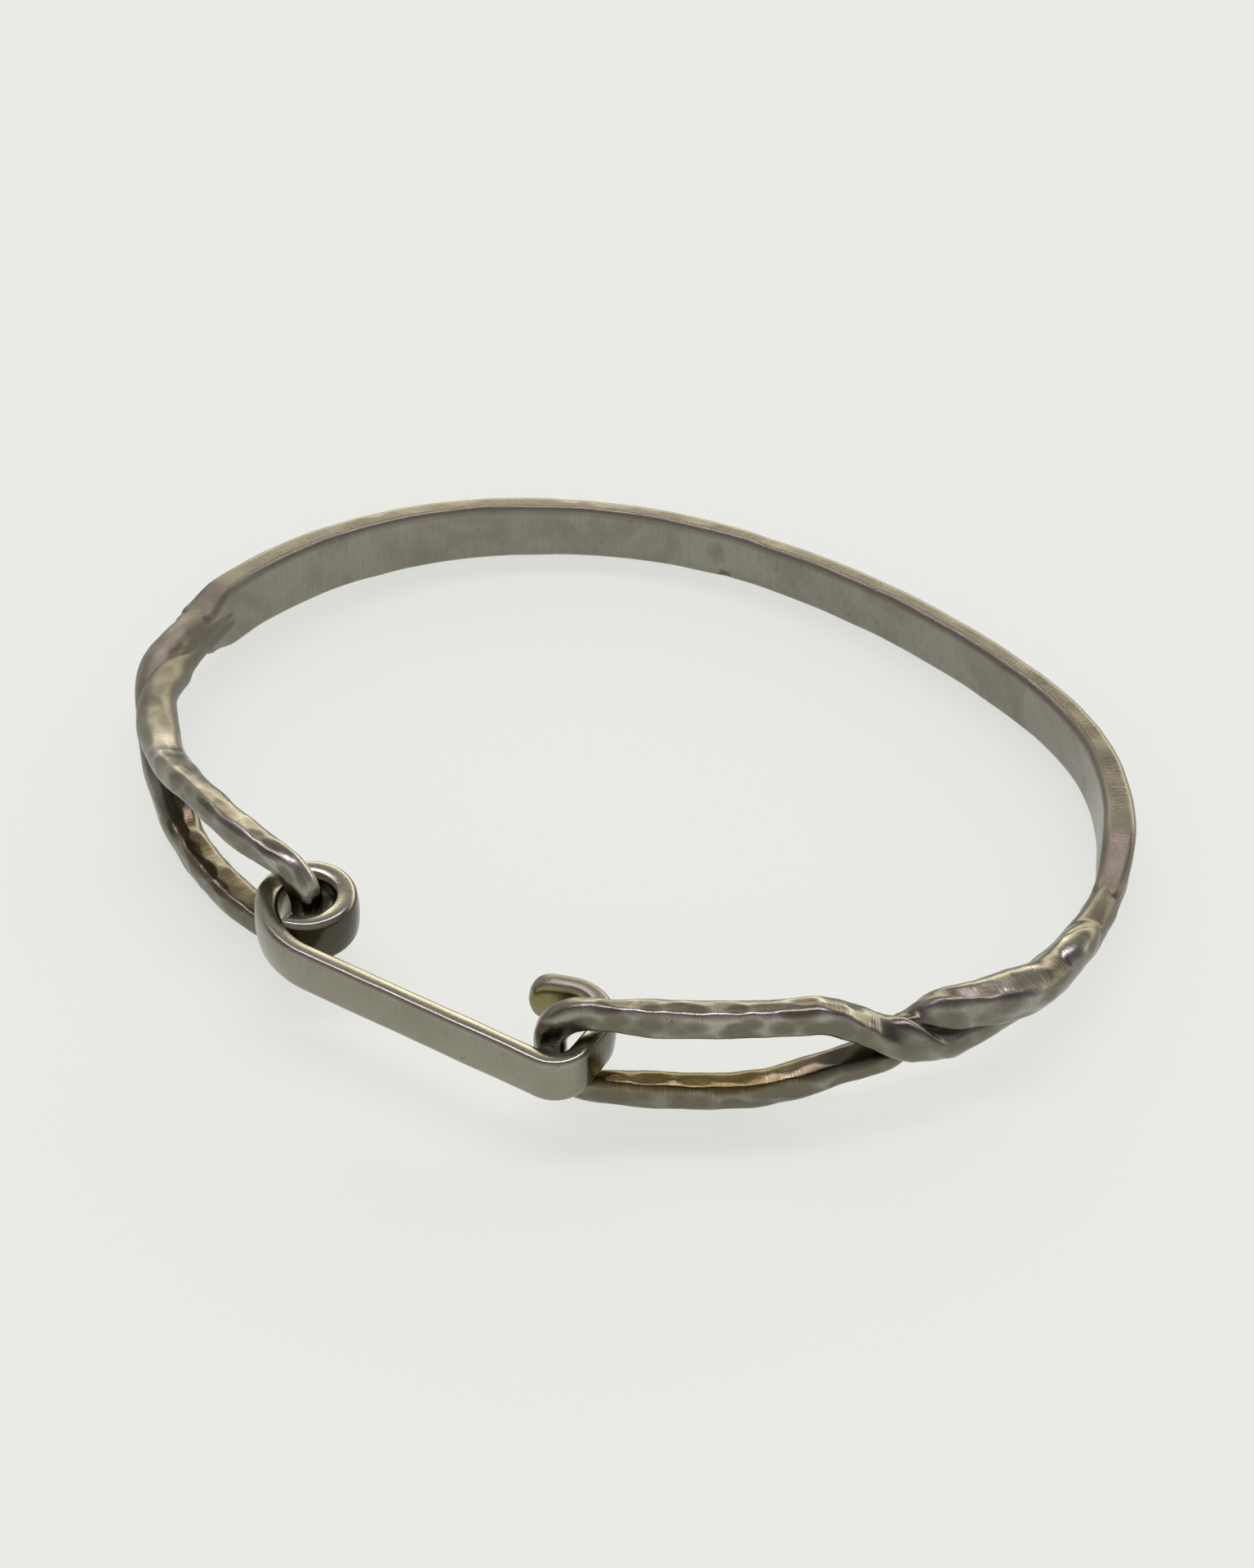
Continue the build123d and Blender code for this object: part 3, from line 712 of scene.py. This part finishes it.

# dark: the colour of the pits and of painted shade
wireSilver = {
    "clean": (0.27, 0.255, 0.215, 1), "dull": (0.165, 0.15, 0.115, 1), "ochre": (0.13, 0.10, 0.04, 1),
    "dark": (0.035, 0.028, 0.02, 1), "ridge": (0.37, 0.35, 0.30, 1),
    "roughness": 0.17, "roughnessSwing": 0.12, "streakAlong": 90.0, "streakAcross": 5.0,
    "streakHeight": 0.000012, "pitHeight": 0.000012,
}
barSilver = {
    "clean": (0.30, 0.285, 0.23, 1), "dull": (0.23, 0.215, 0.165, 1), "ochre": (0.24, 0.21, 0.085, 1),
    "dark": (0.05, 0.042, 0.028, 1), "ridge": (0.30, 0.285, 0.23, 1),
    "roughness": 0.16, "roughnessSwing": 0.1, "streakAlong": 120.0, "streakAcross": 3.0,
    "streakHeight": 0.000009, "pitHeight": 0.000005,
}
# Wear and painted shade that both finishes share. A pair is the factor and offset that turn a mask into a
# share of colour.
wear = {
    "bloomSize": 190.0, "bloomCover": 0.48,     # broad dull patches
    "stainSize": 520.0, "stainCover": 0.6,      # small spots in the ochre
    "pitSize": 3200.0,
    "ridge": (-60.0, 1.0), "dullBlow": (38.0, -0.5),    # metal that no blow has reached, and the blows
    "dullPatch": 0.5, "dullStreak": (2.2, 0.0),
    "ochreSpots": (0.5, 0.45), "ochreStreaks": (2.2, 1.0), "ochre": (1.1, 0.0),
    "paintedShade": (0.9, -0.15), "pit": (9.0, -1.3),
    "patchRough": 0.08, "satinRough": 0.2,
}


# silver: clean metal dulled in patches and in the blows, ochre where the patina mask says, dark in the pits
# and in painted shade, with a roughness of its own + the streaks' + the patches' + the satin's
def makeSilver(name, look):
    material = bpy.data.materials.new(name)
    material.use_nodes = True
    tree = material.node_tree
    shader = tree.nodes["Principled BSDF"]
    streaks = useGroup(tree, streaksGroup, Along=look["streakAlong"], Across=look["streakAcross"]).outputs[0]
    bloom = useGroup(tree, bloomGroup, Size=wear["bloomSize"], Cover=wear["bloomCover"]).outputs[0]
    stain = useGroup(tree, bloomGroup, Size=wear["stainSize"], Cover=wear["stainCover"]).outputs[0]
    pits = useGroup(tree, pitsGroup, Size=wear["pitSize"]).outputs[0]
    push, patina, paintedShade, satin = (addNode(tree, "ShaderNodeAttribute", attribute_name=label).outputs["Fac"]
                                   for label in ("push", "patina", "paintedShade", "satin"))
    colour = mixColour(tree, scaled(tree, push, *wear["ridge"], True), look["clean"], look["ridge"])
    colour = mixColour(tree, scaled(tree, bloom, wear["dullPatch"]), colour, look["dull"])
    colour = mixColour(tree, scaled(tree, push, *wear["dullBlow"], True), colour, look["dull"])
    colour = mixColour(tree, scaled(tree, streaks, *wear["dullStreak"], True), colour, look["dull"])
    ochre = worked(tree, "MULTIPLY", patina, scaled(tree, stain, *wear["ochreSpots"], True))
    ochre = worked(tree, "MULTIPLY", ochre, scaled(tree, streaks, *wear["ochreStreaks"]))
    colour = mixColour(tree, scaled(tree, ochre, *wear["ochre"], True), colour, look["ochre"])
    # painted shade: darker where that mask paints shade
    colour = mixColour(tree, scaled(tree, paintedShade, *wear["paintedShade"], True), colour, look["dark"])
    colour = mixColour(tree, scaled(tree, pits, *wear["pit"], True), colour, look["dark"])
    tree.links.new(colour, shader.inputs["Base Color"])
    shader.inputs["Metallic"].default_value = 1.0
    rough = scaled(tree, streaks, look["roughnessSwing"], look["roughness"])
    rough = scaled(tree, bloom, wear["patchRough"], rough)
    rough = scaled(tree, satin, wear["satinRough"], rough)
    tree.links.new(rough, shader.inputs["Roughness"])
    brushed = addNode(tree, "ShaderNodeBump", {"Strength": 1.0, "Distance": look["streakHeight"],
                                               "Height": streaks})
    pitted = addNode(tree, "ShaderNodeBump", {"Strength": 1.0, "Distance": look["pitHeight"],
                                              "Height": pits, "Normal": brushed.outputs[0]})
    tree.links.new(pitted.outputs[0], shader.inputs["Normal"])
    return material


wire.data.materials.append(makeSilver("hammeredSilver", wireSilver))
hook.data.materials.append(makeSilver("brushedSilver", barSilver))
print("materials made")

# Floor, air and camera
studio = {
    "floorColour": (0.22, 0.22, 0.21, 1), "floorGlow": (0.618, 0.63, 0.598, 1),
    "floorHalf": 12,        # metres
    "azimuth": 29.2, "elevation": 42.5, "distance": 151.0, "focalPixels": 3000.0, "imagePixels": 1920,
    "sensor": 36.0, "aim": (-0.356, 1.899, 0.065),
    "clip": (0.005, 40.0),  # metres
    # light of the air over the view, from the horizon behind the bangle (0) overhead to the one in front (1)
    "air": [(0.0, (0.75, 0.74, 0.7)), (0.12, (0.8, 0.79, 0.74)), (0.2, (0.8, 0.78, 0.73)),
            (0.235, (0.68, 0.67, 0.64)), (0.26, (0.4, 0.4, 0.4)), (0.36, (0.45, 0.44, 0.46)),
            (0.41, (0.24, 0.22, 0.32)), (0.52, (0.26, 0.25, 0.31)), (0.66, (0.5, 0.5, 0.5)),
            (0.85, (0.9, 0.9, 0.87)), (1.0, (0.9, 0.9, 0.86))],
    # lit windows: lowest and highest degree over the view, degrees to the left and right of it, light
    "windows": [(6, 29, -22, 75, (2.9, 2.7, 2.1)), (65, 71, -32, 32, (10.5, 9.4, 10.7))],
    "fade": 4.0, "sideFade": 14.0,      # degrees over which a window ends
}
floorHalf = studio["floorHalf"]
floorMesh = bpy.data.meshes.new("floor")
floorMesh.from_pydata([(-floorHalf, -floorHalf, 0), (floorHalf, -floorHalf, 0), (floorHalf, floorHalf, 0),
                       (-floorHalf, floorHalf, 0)], [], [(0, 1, 2, 3)])
floor = bpy.data.objects.new("floor", floorMesh)
bpy.context.scene.collection.objects.link(floor)
floorMaterial = bpy.data.materials.new("paleFloor")
floorMaterial.use_nodes = True
floorShader = floorMaterial.node_tree.nodes["Principled BSDF"]
floorShader.inputs["Base Color"].default_value = studio["floorColour"]
floorShader.inputs["Roughness"].default_value = 1.0
floorShader.inputs["Specular IOR Level"].default_value = 0.0
floorShader.inputs["Emission Color"].default_value = studio["floorGlow"]
floorShader.inputs["Emission Strength"].default_value = 1.0
floorMesh.materials.append(floorMaterial)

azimuth, elevation = np.radians(studio["azimuth"]), np.radians(studio["elevation"])


# a soft window in the air: one inside two ranges of degrees, the product of a straight fade at each of
# their four ends
def makeWindow():
    labels = "Over", "Beside", "Low", "High", "Left", "Right", "Fade", "SideFade"
    group, given, put = newGroup("softWindow", dict.fromkeys(labels, 0.0), "Mask")
    masks = []
    for value, low, high, fade in (("Over", "Low", "High", "Fade"), ("Beside", "Left", "Right", "SideFade")):
        for end, sign in ((low, 1), (high, -1)):
            inside = worked(group, "SUBTRACT", given.outputs[value], given.outputs[end])
            grown = worked(group, "DIVIDE", inside, given.outputs[fade])
            masks.append(scaled(group, grown, sign, 0.5, True))
    product = masks[0]
    for mask in masks[1:]:
        product = worked(group, "MULTIPLY", product, mask)
    group.links.new(product, put.inputs["Mask"])
    return group


# light of the air: a ramp over the angle of a direction about the view's level cross axis, and the windows
# on it, each its light times its mask
def makeAir():
    world = bpy.data.worlds.new("studioAir")
    bpy.context.scene.world = world
    world.use_nodes = True
    tree = world.node_tree
    background = tree.nodes["Background"]
    spot = addNode(tree, "ShaderNodeTexCoord")
    sides = (-np.sin(azimuth), np.cos(azimuth), 0), (np.cos(azimuth), np.sin(azimuth), 0)
    behind, beside = (addNode(tree, "ShaderNodeVectorMath", {0: spot.outputs["Generated"], 1: way},
                              operation="DOT_PRODUCT").outputs["Value"] for way in sides)
    height = addNode(tree, "ShaderNodeSeparateXYZ", {0: spot.outputs["Generated"]}).outputs[2]
    height = worked(tree, "ABSOLUTE", height)   # the same just below the horizon
    over = worked(tree, "ARCTAN2", height, behind)
    aside = worked(tree, "ARCSINE", beside)
    ramp = addNode(tree, "ShaderNodeValToRGB", {0: scaled(tree, over, 1 / np.pi, 0.0, True)})
    stops = ramp.color_ramp.elements
    while len(stops) < len(studio["air"]):
        stops.new(0.5)
    for stop, (place, colour) in zip(stops, studio["air"]):
        stop.position = place
        stop.color = (*colour, 1)
    light = ramp.outputs[0]
    overDegrees, asideDegrees = scaled(tree, over, 180 / np.pi), scaled(tree, aside, 180 / np.pi)
    window = makeWindow()
    for low, high, left, right, colour in studio["windows"]:
        mask = useGroup(tree, window, Low=low, High=high, Left=left, Right=right, Fade=studio["fade"],
                        SideFade=studio["sideFade"])
        tree.links.new(overDegrees, mask.inputs["Over"])
        tree.links.new(asideDegrees, mask.inputs["Beside"])
        lit = addNode(tree, "ShaderNodeVectorMath", {0: colour, 3: mask.outputs[0]}, operation="SCALE")
        light = addNode(tree, "ShaderNodeVectorMath", {0: light, 1: lit.outputs[0]},
                        operation="ADD").outputs[0]
    tree.links.new(light, background.inputs["Color"])
    background.inputs["Strength"].default_value = 1.0


makeAir()

camera = bpy.data.cameras.new("photoView")
camera.sensor_fit = "VERTICAL"
camera.sensor_height = studio["sensor"]
camera.lens = studio["sensor"] * studio["focalPixels"] / studio["imagePixels"]
camera.clip_start, camera.clip_end = studio["clip"]
viewer = bpy.data.objects.new("photoView", camera)
back = Vector((np.sin(azimuth) * np.cos(elevation), -np.cos(azimuth) * np.cos(elevation),
               np.sin(elevation)))
viewer.location = (Vector(studio["aim"]) + back * studio["distance"]) * millimetre
viewer.rotation_euler = back.to_track_quat("Z", "Y").to_euler()
bpy.context.scene.collection.objects.link(viewer)
bpy.context.scene.camera = viewer
bpy.context.scene.view_settings.view_transform = "Standard"
print("floor, air and camera made")
